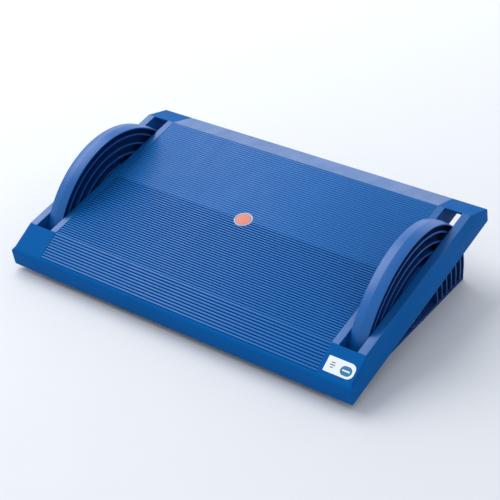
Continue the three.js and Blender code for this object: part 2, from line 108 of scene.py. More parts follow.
class FOOTREST_PG_platform(bpy.types.PropertyGroup):
    """Sizes of the platform moulding"""

    slope: FloatProperty(
        name="Slope", description="Slope of the platform with its front feet down",
        default=math.radians(12.9), subtype="ANGLE")
    rise: length_property("Rise", "Rocking axis to the flat top, square to it", 75.784)
    top_length: length_property("Top length", "Flat top, front fold to back fold", 225.5)
    top_width: length_property("Top width", "Flat top, left to right", 443.6)
    shoulder_width: length_property(
        "Shoulder width", "Width where the slanted sides meet the skirt", 449)
    front_strip: length_property("Front strip", "Length of the slanted front strip", 36.2)
    back_strip: length_property("Back strip", "Length of the slanted back strip", 36.1)
    front_drop: length_property("Front drop", "Fall of the front strip", 14.2)
    back_drop: length_property("Back drop", "Fall of the back strip", 17.6)
    skirt_depth: length_property("Skirt depth", "Flat top to the skirt's bottom edge", 34.5)
    flare: length_property("Flare", "Widening of the skirt towards its edge", 0.5)
    wall: length_property("Wall", "Wall thickness", 2.9)
    slot_inner: length_property(
        "Slot position", "Middle of the platform to a slot's inner side", 191)
    slot_width: length_property("Slot width", "Width of the slots", 20.7)
    slot_wall_depth: length_property(
        "Slot wall depth", "Flat top to the lower edge of the slots' walls", 31)
    stiffener_depth: length_property(
        "Stiffener depth", "Flat top to the lower edge of the stiffening ribs", 11)
    stiffener_wall: length_property("Stiffener wall", "Thickness of the stiffening ribs", 2)
    stiffener_pitch: length_property("Stiffener pitch", "Long stiffening rib to the next", 84)
    stiffener_count: IntProperty(
        name="Stiffeners", description="Long stiffening ribs", default=4, min=1)
    cross_inner: length_property(
        "Inner cross rib", "Middle of the platform to the nearest cross rib", 30)
    cross_outer: length_property(
        "Outer cross rib", "Middle of the platform to the outer cross rib", 95)
    boss: length_property("Boss", "Diameter of the screw bosses under the corners", 15)
    boss_across: length_property(
        "Boss across", "Middle of the platform to a boss, left to right", 170)
    boss_along: length_property(
        "Boss along", "Middle of the platform to a boss, along the slope", 127)
    boss_lift: length_property("Boss lift", "Skirt's bottom edge to the bosses' lower ends", 3)
    screw_hole: length_property("Screw hole", "Diameter of the bosses' screw holes", 4.2)
    screw_hole_depth: length_property("Screw hole depth", "Depth of the bosses' screw holes", 12)
    front_round: length_property("Front round", "Roundness of the front edge", 4.2)
    back_round: length_property("Back round", "Roundness of the back edge", 1.8)
    corner_round: length_property("Corner round", "Roundness of the upright corners", 1.3)
    fold_round: length_property(
        "Fold round", "Roundness of the folds and of the slots' edges", 0.8)


class FOOTREST_PG_grip(bpy.types.PropertyGroup):
    """Sizes of the grip ribs on the platform"""

    pitch: length_property("Pitch", "Rib to rib", 3.4)
    height: length_property("Height", "Groove floor to rib crest", 1.5)
    zone_width: length_property("Zone width", "Length of the ribs, left to right", 365)
    front_border: length_property("Front border", "Plain border at the front edge", 5.2)
    back_border: length_property("Back border", "Plain border at the back fold", 0.9)


class FOOTREST_PG_stand(bpy.types.PropertyGroup):
    """Sizes of the half-disc stands"""

    steps: IntProperty(
        name="Steps", description="Facets in half a turn", default=90, min=24)
    crown: length_property("Crown", "How far the tread's middle stands proud", 1.4)
    rim: length_property("Rim", "Thickness of the rim", 3)
    web: length_property("Web", "Thickness of the web", 3)
    rib: length_property("Rib", "Thickness of a guide rib", 2.2)
    rib_pitch: length_property("Rib pitch", "Guide rib to guide rib", 11.1)
    rib_count: IntProperty(
        name="Ribs", description="Guide ribs on each side", default=6, min=1)
    first_rib: length_property("First rib", "Radius of the outermost guide rib", 109)
    hub: length_property("Hub", "Diameter of the hub for the tie rod", 26)
    pocket: length_property("Nut pocket", "Diameter of the pocket for the nut", 19)
    pocket_depth: length_property("Pocket depth", "Depth of the pocket for the nut", 10)
    base: length_property("Base flange", "Thickness of the flange along the flat bottom", 3.6)


class FOOTREST_PG_finish(bpy.types.PropertyGroup):
    """Colours of the mouldings, fixings and print"""

    platform_blue: colour_property("Platform", "Blue of the platform", (0.001, 0.1, 0.345))
    stand_blue: colour_property("Stands", "Blue of the stands", (0.001, 0.105, 0.37))
    # A lighter blue than the platform's: a painted highlight on the grip ribs' crests.
    lit_crest_blue: colour_property("Crests", "Blue of the grip ribs", (0.003, 0.132, 0.43))
    # Darker than the platform's blue: painted shade in the grooves between the grip ribs.
    shaded_groove_blue: colour_property("Grooves", "Blue between the grip ribs", (0.001, 0.07, 0.26))
    # Darker than the stands' blue: painted shade on the stands' sunk faces, hubs and base flanges.
    shaded_recess_blue: colour_property("Recesses", "Blue of the sunk faces", (0.001, 0.03, 0.145))
    # Darker than the stands' blue: painted shade on the guide ribs' edges.
    shaded_rib_edge_blue: colour_property(
        "Rib edges", "Blue of the guide ribs' edges", (0.004, 0.06, 0.24))
    rubber: colour_property("Rubber", "Bumper feet", (0.02, 0.02, 0.022))
    steel: colour_property("Steel", "Zinc plated fixings", (0.58, 0.59, 0.61))
    badge: colour_property("Badge", "Middle of the badge", (0.72, 0.2, 0.145))
    badge_rim: colour_property("Badge rim", "Rim of the badge", (0.45, 0.43, 0.55))
    paper: colour_property("Label", "Ground of the sticker", (0.86, 0.9, 0.9))
    print_blue: colour_property("Blue print", "Blue mark on the sticker", (0.0, 0.17, 0.36))
    print_grey: colour_property("Grey print", "Grey mark on the sticker", (0.12, 0.12, 0.14))


class FOOTREST_PG_stage(bpy.types.PropertyGroup):
    """Floor, light and camera"""

    floor: colour_property("Floor", "Colour of the floor", (0.76, 0.76, 0.77))
    floor_size: FloatProperty(
        name="Floor size", description="Side of the floor", default=14, unit="LENGTH")
    sky: FloatProperty(
        name="Sky", description="Strength of the even light from all round", default=0.73)
    key: FloatProperty(
        name="Key light", description="Power of the lamp on the left", default=76, unit="POWER")
    back: FloatProperty(
        name="Back light", description="Power of the wide lamp behind", default=9, unit="POWER")
    lens: FloatProperty(
        name="Lens", description="Focal length in millimetres", default=83.88)


GROUPS = {
    "footrest_platform": FOOTREST_PG_platform,
    "footrest_grip": FOOTREST_PG_grip,
    "footrest_stand": FOOTREST_PG_stand,
    "footrest_finish": FOOTREST_PG_finish,
    "footrest_stage": FOOTREST_PG_stage,
}


# ---------------------------------------------------------------- places on the platform


def tilted(slope):
    """The platform's own directions, seated on the rocking axis."""
    return Matrix.Translation(HINGE) @ Matrix.Rotation(slope, 4, "X")


def strip_slopes(sizes):
    """Slopes of the front and back strips against the flat top."""
    return (
        math.atan2(sizes.front_drop, sizes.front_strip),
        math.atan2(sizes.back_drop, sizes.back_strip),
    )


def top_height(sizes, s):
    """Height of the top above the rocking axis at the place s along the slope."""
    half = sizes.top_length / 2
    if s < -half:
        return sizes.rise - sizes.front_drop * (-half - s) / sizes.front_strip
    if s > half:
        return sizes.rise - sizes.back_drop * (s - half) / sizes.back_strip
    return sizes.rise


def shoulder_height(sizes, s):
    """Height of the fold between the sides and the skirt."""
    half = sizes.top_length / 2
    front, back = -half - sizes.front_strip, half + sizes.back_strip
    share = (s - front) / (back - front)
    return sizes.rise - sizes.front_drop - (sizes.back_drop - sizes.front_drop) * share


# ---------------------------------------------------------------- mesh helpers


def new_piece(name, bm, body, material, smooth=35):
    """Turns bm into a shown piece that rides on body and takes material as its finish."""
    mesh = bpy.data.meshes.new(name)
    bmesh.ops.recalc_face_normals(bm, faces=bm.faces)
    bm.to_mesh(mesh)
    bm.free()
    piece = bpy.data.objects.new(name, mesh)
    bpy.context.scene.collection.objects.link(piece)
    mesh.materials.append(material)
    mesh.shade_smooth()
    mesh.set_sharp_from_angle(angle=math.radians(smooth))
    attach(piece, body)
    return piece


def round_edges(piece, width, segments=3, limit="ANGLE", angle=30):
    """Rounds the edges of a piece and keeps its flat faces flat."""
    bevel = piece.modifiers.new("Rounded edges", "BEVEL")
    bevel.width = width
    bevel.segments = segments
    bevel.limit_method = limit
    bevel.angle_limit = math.radians(angle)
    bevel.harden_normals = True
    bevel.use_clamp_overlap = True
    bevel.miter_outer = "MITER_ARC"


def apply_modifiers(piece):
    """Makes the modifiers of a piece part of its mesh, without the edges that came out too short."""
    graph = bpy.context.evaluated_depsgraph_get()
    mesh = bpy.data.meshes.new_from_object(piece.evaluated_get(graph))
    bm = bmesh.new()
    bm.from_mesh(mesh)
    bmesh.ops.dissolve_degenerate(bm, dist=SHORTEST_EDGE, edges=bm.edges)
    bm.to_mesh(mesh)
    bm.free()
    piece.modifiers.clear()
    old = piece.data
    piece.data = mesh
    bpy.data.meshes.remove(old)


def add_box(bm, low, high):
    """A closed box between two corners."""
    corners = [
        bm.verts.new((x, y, z))
        for z in (low[2], high[2]) for y in (low[1], high[1]) for x in (low[0], high[0])
    ]
    for a, b, c, d in (
        (0, 2, 3, 1), (4, 5, 7, 6), (0, 1, 5, 4), (2, 6, 7, 3), (0, 4, 6, 2), (1, 3, 7, 5),
    ):
        bm.faces.new((corners[a], corners[b], corners[c], corners[d]))


def add_turned(bm, outline, steps, place=Matrix(), cap=False):
    """Turns an outline of (radius, along) points round its own Z axis.

    Without a cap the outline closes on itself, and with one it starts and ends on the axis.
    """
    if outline[0] == outline[-1]:
        outline = outline[:-1]
    rings = []
    for radius, along in outline:
        if radius < SAME_POINT:
            rings.append([bm.verts.new(place @ Vector((0, 0, along)))])
            continue
        rings.append([
            bm.verts.new(place @ Vector((
                radius * math.cos(2 * math.pi * i / steps),
                radius * math.sin(2 * math.pi * i / steps), along)))
            for i in range(steps)
        ])
    pairs = list(zip(rings, rings[1:]))
    if not cap and len(rings[0]) > 1:
        pairs.append((rings[-1], rings[0]))
    for low, high in pairs:
        for i in range(steps):
            j = (i + 1) % steps
            corners = [low[i % len(low)], low[j % len(low)], high[j % len(high)], high[i % len(high)]]
            corners = list(dict.fromkeys(corners))
            if len(corners) > 2:
                bm.faces.new(corners)
    if cap:
        for ring in (rings[0], rings[-1]):
            if len(ring) > 2:
                bm.faces.new(ring)


def add_plate(bm, outline, low, high, shift=(0, 0)):
    """A closed plate of an outline of (x, y) points, between two heights."""
    loops = [
        [bm.verts.new((x + shift[0], y + shift[1], z)) for x, y in outline] for z in (low, high)
    ]
    count = len(outline)
    for k in range(count):
        n = (k + 1) % count
        bm.faces.new((loops[0][k], loops[0][n], loops[1][n], loops[1][k]))
    bm.faces.new(loops[0])
    bm.faces.new(loops[1])


LONGEST_ROUND = 0.45           # of a straight, so that the rounds at its two ends stay apart


def rounded_profile(points, radius, steps=3):
    """Rounds every corner of an open outline of 2D points."""
    result = [Vector(points[0])]
    for before, corner, after in zip(points, points[1:], points[2:]):
        here = Vector(corner)
        to_before = Vector(before) - here
        to_after = Vector(after) - here
        reach = min(radius, to_before.length * LONGEST_ROUND, to_after.length * LONGEST_ROUND)
        start = here + to_before.normalized() * reach
        end = here + to_after.normalized() * reach
        for step in range(steps + 1):
            t = step / steps
            result.append(start * (1 - t) ** 2 + here * 2 * t * (1 - t) + end * t ** 2)
    result.append(Vector(points[-1]))
    return [tuple(point) for point in result]


# ---------------------------------------------------------------- materials


class Shader:
    """A material's node tree, with short ways to add and join nodes."""

    def __init__(self, name):
        self.material = bpy.data.materials.new(name)
        self.material.use_nodes = True
        self.tree = self.material.node_tree
        self.surface = self.tree.nodes["Principled BSDF"]
        self.place = self.add("ShaderNodeTexCoord").outputs["Object"]

    def add(self, kind, **settings):
        """A new node of that kind, with its settings."""
        node = self.tree.nodes.new(kind)
        for key, value in settings.items():
            setattr(node, key, value)
        return node

    def join(self, source, target):
        """Links an output to an input."""
        self.tree.links.new(source, target)

    def stretched(self, scale):
        """Object coordinates scaled unevenly."""
        mapping = self.add("ShaderNodeMapping")
        mapping.inputs["Scale"].default_value = scale
        self.join(self.place, mapping.inputs["Vector"])
        return mapping.outputs["Vector"]

    def noise(self, scale, detail=3, roughness=0.5, place=None):
        """A 0..1 noise pattern, with scale in cells to the metre."""
        node = self.add("ShaderNodeTexNoise")
        node.inputs["Scale"].default_value = scale
        node.inputs["Detail"].default_value = detail
        node.inputs["Roughness"].default_value = roughness
        self.join(place or self.place, node.inputs["Vector"])
        return node.outputs["Fac"]

    def spread(self, source, low, high, from_low=0.3, from_high=0.7):
        """Spreads a 0..1 pattern over the range low..high."""
        node = self.add("ShaderNodeMapRange")
        node.inputs["From Min"].default_value = from_low
        node.inputs["From Max"].default_value = from_high
        node.inputs["To Min"].default_value = low
        node.inputs["To Max"].default_value = high
        self.join(source, node.inputs["Value"])
        return node.outputs["Result"]

    def blend(self, share, first, second):
        """Mixes two colours, or two colour outputs, by a 0..1 pattern."""
        node = self.add("ShaderNodeMix", data_type="RGBA")
        self.join(share, node.inputs["Factor"])
        for socket, colour in ((node.inputs[6], first), (node.inputs[7], second)):
            if isinstance(colour, bpy.types.NodeSocket):
                self.join(colour, socket)
            else:
                socket.default_value = (*colour, 1)
        return node.outputs[2]

    def bump(self, height, strength, distance, before=None):
        """Normals that follow a pattern, distance metres deep, on top of those of another bump."""
        node = self.add("ShaderNodeBump")
        node.inputs["Strength"].default_value = strength
        node.inputs["Distance"].default_value = distance
        self.join(height, node.inputs["Height"])
        if before is not None:
            self.join(before, node.inputs["Normal"])
        return node.outputs["Normal"]


def scaled(colour, factor):
    """A lighter or darker version of a colour."""
    return tuple(min(1, value * factor) for value in colour)


def moulded_plastic(name, colour, roughness, grain=0.12, gloss=0.5):
    """Coloured plastic as it comes from a spark-eroded mould, its edges lighter: a little wear and a painted
    highlight.
    """
    shader = Shader(name)
    cloudy = shader.spread(shader.noise(9, 2), 0, 1)
    body = shader.blend(cloudy, scaled(colour, 0.94), scaled(colour, 1.06))
    speckle = shader.spread(shader.noise(1400, 2), 0, 0.16, 0.45, 0.75)
    body = shader.blend(speckle, body, scaled(colour, 1.7))
    # Edges lighter by their pointiness: partly wear, partly a painted highlight along the edges.
    worn_and_lit_edges = shader.spread(shader.add("ShaderNodeNewGeometry").outputs["Pointiness"],
                               0, 0.35, 0.53, 0.62)
    body = shader.blend(worn_and_lit_edges, body, scaled([value + 0.03 for value in colour], 1.6))
    shader.join(body, shader.surface.inputs["Base Color"])
    scuffs = shader.noise(60, 4, 0.6, shader.stretched((1, 0.25, 1)))
    shader.join(shader.spread(scuffs, roughness - 0.06, roughness + 0.08),
                shader.surface.inputs["Roughness"])
    pores = shader.noise(2200, 3, 0.6)
    waves = shader.noise(26, 1)
    soft = shader.bump(waves, 0.05, 0.002)
    shader.join(shader.bump(pores, grain, 0.00012, soft), shader.surface.inputs["Normal"])
    shader.surface.inputs["IOR"].default_value = 1.5
    shader.surface.inputs["Specular IOR Level"].default_value = gloss
    return shader.material


def moulded_rubber(name, colour):
    """Matt black rubber with a bloom of dust."""
    shader = Shader(name)
    dust = shader.spread(shader.noise(240, 4), 0, 0.5, 0.5, 0.8)
    shader.join(shader.blend(dust, colour, (0.09, 0.088, 0.085)),
                shader.surface.inputs["Base Color"])
    shader.join(shader.spread(shader.noise(120), 0.74, 0.92), shader.surface.inputs["Roughness"])
    shader.join(shader.bump(shader.noise(1500, 3), 0.3, 0.0001), shader.surface.inputs["Normal"])
    return shader.material


def plated_steel(name, colour):
    """Zinc plated steel with fine turning marks."""
    shader = Shader(name)
    spangle = shader.spread(shader.noise(160, 3), 0, 1)
    shader.join(shader.blend(spangle, scaled(colour, 0.82), scaled(colour, 1.08)),
                shader.surface.inputs["Base Color"])
    marks = shader.noise(900, 2, 0.5, shader.stretched((3, 0.3, 0.3)))
    shader.join(shader.spread(marks, 0.26, 0.42), shader.surface.inputs["Roughness"])
    shader.join(shader.bump(marks, 0.12, 0.00005), shader.surface.inputs["Normal"])
    shader.surface.inputs["Metallic"].default_value = 1
    return shader.material


def coated_paper(name, colour, roughness=0.38):
    """Coated sticker stock or a layer of print on it."""
    shader = Shader(name)
    fibres = shader.spread(shader.noise(700, 4, 0.6), 0, 1)
    shader.join(shader.blend(fibres, scaled(colour, 0.95), scaled(colour, 1.03)),
                shader.surface.inputs["Base Color"])
    shader.join(shader.spread(shader.noise(300), roughness - 0.05, roughness + 0.06),
                shader.surface.inputs["Roughness"])
    shader.join(shader.bump(shader.noise(500, 3), 0.06, 0.00005), shader.surface.inputs["Normal"])
    return shader.material


def material(name, make, colour, **finish):
    """The material of that name, made on first use."""
    return bpy.data.materials.get(name) or make(name, colour, **finish)


def platform_plastic(context):
    """Finely eroded finish of most of the platform."""
    colours = context.scene.footrest_finish
    return material("platform_plastic", moulded_plastic, colours.platform_blue,
                    roughness=0.58, grain=0.14, gloss=0.04)


def satin_plastic(context):
    """Smoother finish of the plain strips beside the slots and behind the ribs."""
    colours = context.scene.footrest_finish
    return material("platform_satin", moulded_plastic, colours.platform_blue,
                    roughness=0.32, grain=0.02, gloss=0.5)


def rib_plastic(context):
    """Finish of the grip ribs, a little smoother than the rest of the platform, in a lighter blue that is a
    painted highlight on their crests.
    """
    colours = context.scene.footrest_finish
    return material("rib_plastic", moulded_plastic, colours.lit_crest_blue,
                    roughness=0.42, grain=0.05, gloss=0.3)


def groove_plastic(context):
    """Finish of the grooves between the grip ribs, where the mould's marks are deeper, in a darker blue that is
    painted shade.
    """
    colours = context.scene.footrest_finish
    return material("groove_plastic", moulded_plastic, colours.shaded_groove_blue,
                    roughness=0.62, grain=0.1, gloss=0.08)


def stand_plastic(context):
    """Satin finish of the stands' treads and rims."""
    colours = context.scene.footrest_finish
    return material("stand_plastic", moulded_plastic, colours.stand_blue,
                    roughness=0.36, grain=0.08, gloss=0.5)


def recess_plastic(context):
    """Rougher finish of the sunk faces, in a darker blue that is painted shade."""
    colours = context.scene.footrest_finish
    return material("recess_plastic", moulded_plastic, colours.shaded_recess_blue,
                    roughness=0.6, grain=0.1, gloss=0.1)


def rib_edge_plastic(context):
    """Smooth finish of the guide ribs' edges, polished by the pegs, in a darker blue that is painted shade."""
    colours = context.scene.footrest_finish
    return material("rib_edge_plastic", moulded_plastic, colours.shaded_rib_edge_blue,
                    roughness=0.36, grain=0.05, gloss=0.3)


# ---------------------------------------------------------------- platform


def platform_columns(sizes, grip):
    """Lines across the platform where its top changes, from left to right."""
    half = sizes.top_width / 2
    outer = sizes.slot_inner + sizes.slot_width
    right = [grip.zone_width / 2, sizes.slot_inner, outer, half]
    return [-x for x in reversed(right)] + right


def platform_rows(sizes, grip):
    """Lines along the slope where the top changes, from front to back."""
    half = sizes.top_length / 2
    front_slope, _ = strip_slopes(sizes)
    border = grip.front_border * math.cos(front_slope)
    return [
        -half - sizes.front_strip, -half - sizes.front_strip + border, -half,
        half - grip.back_border, half, half + sizes.back_strip,
    ]


BED_DEPTH = 1.2                # of the grip ribs' height, so that their mat sits in a shallow bed
OUTSIDE, BED, INSIDE = range(3)     # levels of the shell's corners


def make_platform_shell(sizes, grip):
    """The top and skirt as one thin-walled body, with the slots open and a bed for the ribs."""
    columns = platform_columns(sizes, grip)
    rows = platform_rows(sizes, grip)
    last_column, last_row = len(columns) - 2, len(rows) - 2
    bed = grip.height * BED_DEPTH
    bm = bmesh.new()
    weights = bm.edges.layers.float.new("bevel_weight_edge")
    found = {}

    def spot(i, j, level):
        """Corner i, j of the grid at one of the three levels."""
        key = (i, j, level)
        if key not in found:
            x, s = columns[i], rows[j]
            if j in (0, last_row + 1) and i in (0, last_column + 1):
                x = math.copysign(sizes.shoulder_width / 2, x)
            depth = (0, bed, sizes.wall)[level]
            inset = sizes.wall if level == INSIDE else 0
            if i in (0, last_column + 1):
                x -= math.copysign(inset, x)
            if j == 0:
                s += inset
            if j == last_row + 1:
                s -= inset
            found[key] = bm.verts.new((x, s, top_height(sizes, s) - depth))
        return found[key]

    def is_slot(i, j):
        """Whether this field of the grid is open for a stand."""
        return i in (1, last_column - 1) and j in (2, 3)

    def is_bed(i, j):
        """Whether the grip ribs lie on this field."""
        return i == 3 and j in (1, 2)

    def is_polished(i, j):
        """Whether this field is one of the smoother strips beside the slots and behind the ribs."""
        return 1 < j < last_row or (i == 3 and j == last_row)

    for i in range(last_column + 1):
        for j in range(last_row + 1):
            if is_slot(i, j):
                continue
            level = BED if is_bed(i, j) else OUTSIDE
            corners = ((i, j), (i + 1, j), (i + 1, j + 1), (i, j + 1))
            top = bm.faces.new([spot(a, b, level) for a, b in corners])
            top.material_index = 1 if is_polished(i, j) else 0
            turned_round = (corners[0], corners[3], corners[2], corners[1])
            bm.faces.new([spot(a, b, INSIDE) for a, b in turned_round])
    for i in range(last_column + 1):
        for j in range(last_row + 1):
            for di, dj, a, b in ((1, 0, (1, 0), (1, 1)), (0, 1, (0, 1), (1, 1))):
                ni, nj = i + di, j + dj
                if ni > last_column or nj > last_row:
                    continue
                for kind, low in ((is_slot, INSIDE), (is_bed, BED)):
                    if kind(i, j) != kind(ni, nj):
                        p, q = (i + a[0], j + a[1]), (i + b[0], j + b[1])
                        bm.faces.new((spot(*p, OUTSIDE), spot(*q, OUTSIDE), spot(*q, low), spot(*p, low)))
    make_skirt(bm, sizes, spot, last_column + 1, last_row + 1)
    weigh_edges(bm, sizes, weights, rows)
    return bm


def make_skirt(bm, sizes, spot, right, back):
    """Slanted sides, upright skirt and its inner face, all round the platform."""
    border = (
        [(i, 0) for i in range(right)] + [(right, j) for j in range(back)]
        + [(i, back) for i in range(right, 0, -1)] + [(0, j) for j in range(back, 0, -1)]
    )
    bottom = sizes.rise - sizes.skirt_depth

    def ring(inset, height, widen=0.0):
        """Points all round, moved in by inset and out by widen, each at its own height."""
        points = []
        for i, j in border:
            x, s, _ = spot(i, j, OUTSIDE).co
            if i in (0, right):
                x = math.copysign(sizes.shoulder_width / 2 + widen - inset, x)
            if j == 0:
                s += inset - widen
            if j == back:
                s += widen - inset
            points.append((x, s, height(s)))
        return points

    def same_or_new(points, known):
        """The known corners where the points fall on them, and new ones elsewhere."""
        return [
            old if (Vector(point) - old.co).length < SHORTEST_EDGE else bm.verts.new(point)
            for point, old in zip(points, known)
        ]

    top = [spot(i, j, OUTSIDE) for i, j in border]
    shoulder = same_or_new(ring(0, lambda s: shoulder_height(sizes, s)), top)
    outer = [bm.verts.new(p) for p in ring(0, lambda s: bottom, sizes.flare)]
    inner = [bm.verts.new(p) for p in ring(sizes.wall, lambda s: bottom, sizes.flare)]
    under = [spot(i, j, INSIDE) for i, j in border]
    for low, high in ((shoulder, top), (outer, shoulder), (inner, outer), (under, inner)):
        for k in range(len(border)):
            n = (k + 1) % len(border)
            corners = list(dict.fromkeys((low[k], low[n], high[n], high[k])))
            if len(corners) > 2:
                bm.faces.new(corners)


SLIGHT_FOLD = math.radians(8)  # edges that turn less than this stay as they are
END_ZONE = 1.2 * MM            # how far the edges of the front and back ends lie from them
SIDE_ZONE = 3 * MM             # and those of the sides from the shoulder's width
BED_WALL = 2.2 * MM            # the upright walls round the bed are lower than this


def weigh_edges(bm, sizes, weights, rows):
    """Marks how round each outside edge of the shell is, as a share of the front edge's round."""
    bmesh.ops.recalc_face_normals(bm, faces=bm.faces)
    bottom = sizes.rise - sizes.skirt_depth
    ends = (rows[0], rows[-1])
    fold = sizes.fold_round / sizes.front_round
    for edge in bm.edges:
        if len(edge.link_faces) != 2 or edge.calc_face_angle() < SLIGHT_FOLD:
            continue
        first, second = (vert.co for vert in edge.verts)
        middle = (first + second) / 2
        at_end = min(abs(middle.y - end) for end in ends) < END_ZONE
        at_side = abs(abs(middle.x) - sizes.shoulder_width / 2) < SIDE_ZONE
        on_top = middle.z > top_height(sizes, middle.y) - LEVEL
        across = abs(first.y - second.y) < LEVEL
        at_bed = on_top and (edge_meets_bed(edge) or abs(middle.y - rows[-2]) < LEVEL)
        if middle.z < bottom + LEVEL:
            edge[weights] = fold / 2
        elif at_end and across and on_top:
            edge[weights] = 1.0 if middle.y < 0 else sizes.back_round / sizes.front_round
        elif at_end and at_side:
            edge[weights] = sizes.corner_round / sizes.front_round
        elif at_bed:
            edge[weights] = fold / 4
        elif on_top or at_side:
            edge[weights] = fold


def edge_meets_bed(edge):
    """Whether one side of the edge is a low upright wall, as round the bed of the ribs."""
    upright = 0.4              # most that an upright wall's normal may point up or down
    heights = [max(v.co.z for v in face.verts) - min(v.co.z for v in face.verts)
               for face in edge.link_faces if abs(face.normal.z) < upright]
    return any(height < BED_WALL for height in heights)


class FOOTREST_OT_platform_shell(bpy.types.Operator):
    """Thin-walled top and skirt of the platform, with its two slots"""

    bl_idname = "footrest.platform_shell"
    bl_label = "Platform shell"

    def execute(self, context):
        sizes = context.scene.footrest_platform
        bm = make_platform_shell(sizes, context.scene.footrest_grip)
        bm.transform(tilted(sizes.slope))
        finish = platform_plastic(context)
        shell = new_piece("platform_shell", bm, "platform", finish)
        shell.data.materials.append(satin_plastic(context))
        round_edges(shell, sizes.front_round, segments=4, limit="WEIGHT")
        apply_modifiers(shell)
        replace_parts(shell, "platform")
        return {"FINISHED"}


# One rib's section from its steep side on, as (share of the pitch, share of the height).
RIB_OUTLINE = ((0.0, -1.0), (0.1, -1.0), (0.16, -0.55), (0.2, -0.1), (0.26, 0.0),
               (0.5, -0.06), (0.72, -0.2), (0.86, -0.42), (0.95, -0.85))
GROOVE_START = -0.5            # below this share of the height the groove's darker finish, painted shade, begins
RIB_END = 0.7 * MM             # length over which the ribs run out at their ends
RIB_END_FALL = 0.35            # and how far they fall there, as a share of their height


def grip_path(sizes, grip):
    """The ribs' path up the front strip, over the fold and along the flat, and its two ends."""
    half = sizes.top_length / 2
    front_slope, _ = strip_slopes(sizes)
    strip = math.hypot(sizes.front_drop, sizes.front_strip)

    def at(along):
        """Place s, height h and lean at a distance along the path, which is 0 at the front fold."""
        if along < 0:
            s = -half + along * math.cos(front_slope)
            return s, sizes.rise + along * math.sin(front_slope), front_slope
        return -half + along, sizes.rise, 0.0

    return at, -(strip - grip.front_border), sizes.top_length - grip.back_border


def make_grip_ribs(sizes, grip):
    """Closed mat of ribs. The steep side of each rib faces away from the platform's middle."""
    at, start, end = grip_path(sizes, grip)
    middle = sizes.top_length / 2
    outline = []
    count = round((middle - start) / grip.pitch)
    pitch = (middle - start) / count
    for k in range(count, 0, -1):
        for share, depth in RIB_OUTLINE:
            outline.append((middle - (k - share) * pitch, depth))
    outline.append((middle, -1.0))
    back_count = round((end - middle) / grip.pitch)
    back_pitch = (end - middle) / back_count
    for k in range(back_count):
        for share, depth in reversed(RIB_OUTLINE):
            outline.append((middle + (k + 1 - share) * back_pitch, depth))
    edge = grip.zone_width / 2
    columns = (-edge, -edge + RIB_END, edge - RIB_END, edge)
    run_out = (RIB_END_FALL, 0, 0, RIB_END_FALL)
    bed = -grip.height * BED_DEPTH
    bm = bmesh.new()
    top, floor = [], []
    for along, depth in outline:
        s, h, lean = at(along)
        lift = depth * grip.height
        up = Vector((0, -math.sin(lean), math.cos(lean)))
        base = Vector((0, s, h))
        top.append([
            bm.verts.new(base + up * min(lift, -fall * grip.height) + Vector((x, 0, 0)))
            for x, fall in zip(columns, run_out)
        ])
        floor.append([bm.verts.new(base + up * bed + Vector((x, 0, 0))) for x in columns])
    for k in range(len(outline) - 1):
        in_groove = min(outline[k][1], outline[k + 1][1]) < GROOVE_START
        for rows in (top, floor):
            for c in range(len(columns) - 1):
                near, far = rows[k], rows[k + 1]
                face = bm.faces.new((near[c], near[c + 1], far[c + 1], far[c]))
                # Crest faces take the painted highlight, groove faces the painted shade.
                face.material_index = 1 if in_groove else 0
        for c in (0, -1):
            bm.faces.new((top[k][c], top[k + 1][c], floor[k + 1][c], floor[k][c]))
    for k in (0, -1):
        for c in range(len(columns) - 1):
            bm.faces.new((top[k][c], top[k][c + 1], floor[k][c + 1], floor[k][c]))
    bmesh.ops.remove_doubles(bm, verts=bm.verts, dist=SHORTEST_EDGE)
    return bm


class FOOTREST_OT_grip_ribs(bpy.types.Operator):
    """Fine ribs across the platform, over its front strip and flat top"""

    bl_idname = "footrest.grip_ribs"
    bl_label = "Grip ribs"

    def execute(self, context):
        sizes = context.scene.footrest_platform
        bm = make_grip_ribs(sizes, context.scene.footrest_grip)
        bm.transform(tilted(sizes.slope))
        ribs = new_piece("grip_ribs", bm, "platform", rib_plastic(context), smooth=50)
        ribs.data.materials.append(groove_plastic(context))
        return {"FINISHED"}


INTO_TOP = 0.8                 # the walls' upper edges end at this share of the top's thickness
BOSS_STEPS = 32
WALL_ROUND = 0.5 * MM


